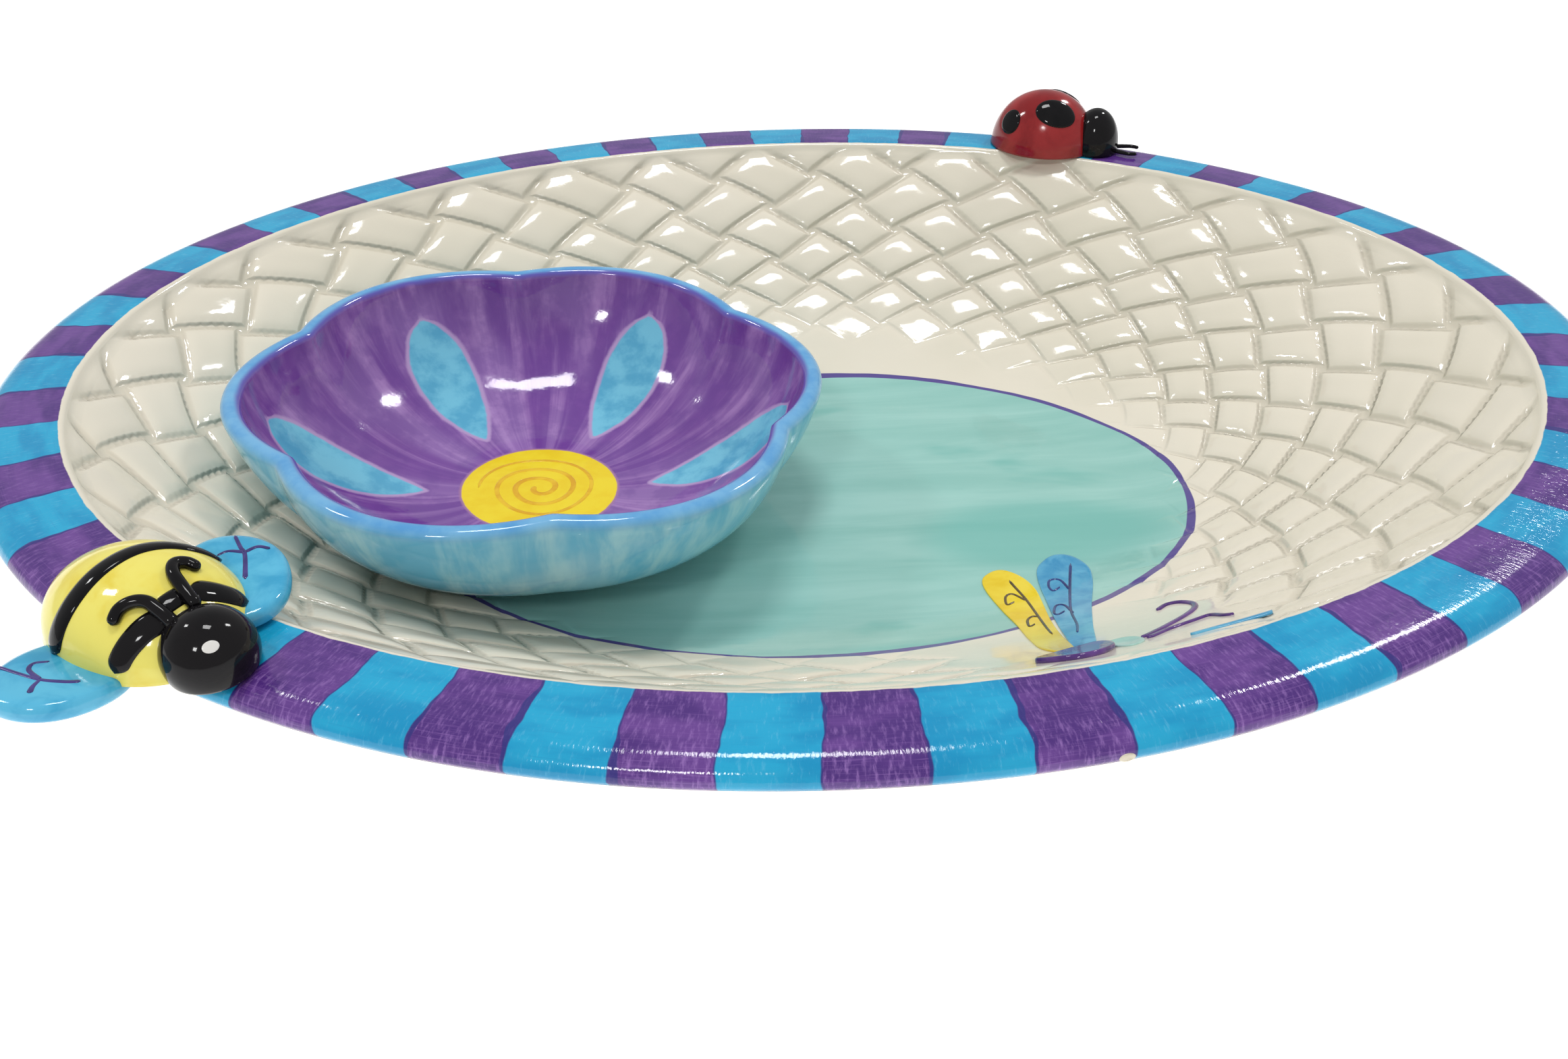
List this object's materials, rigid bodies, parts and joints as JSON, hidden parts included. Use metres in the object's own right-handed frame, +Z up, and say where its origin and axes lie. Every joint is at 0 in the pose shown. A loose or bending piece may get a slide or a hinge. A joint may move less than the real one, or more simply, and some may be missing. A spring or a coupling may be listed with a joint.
{
  "type": "chip and dip server",
  "caption": "Oval ceramic serving tray with a woven-look wall and striped rim, a bee and a ladybug on the rim, and a loose flower-shaped dip bowl.",
  "frame": {"origin": "under the middle of the tray, on the surface that its foot stands on", "axes": "+X along the tray's long axis, +Y across it towards the ladybug's side, +Z up"},
  "size_m": [0.4, 0.308, 0.0758],
  "materials": {
    "tray_glaze": "glossy",
    "bowl_glaze": "glossy",
    "yellow_glaze": "glossy",
    "black_glaze": "glossy",
    "wing_glaze": "glossy",
    "red_glaze": "glossy"
  },
  "bodies": {
    "tray_with_insects": {"tray": "tray_glaze", "bee_body": "yellow_glaze", "bee_head": "black_glaze", "bee_wing_inner": "wing_glaze", "bee_wing_outer": "wing_glaze", "bee_antenna_left": "black_glaze", "bee_antenna_right": "black_glaze", "ladybug_body": "red_glaze", "ladybug_head": "black_glaze", "ladybug_antenna_left": "black_glaze", "ladybug_antenna_right": "black_glaze"},
    "loose_bowl": {"dip_bowl": "bowl_glaze"}
  },
  "joints": [
    {"name": "bowl_lift", "type": "slide", "parent": "tray_with_insects", "child": "loose_bowl", "axis": [0, 0, 1], "range_m": [0, 0.12]}
  ]
}
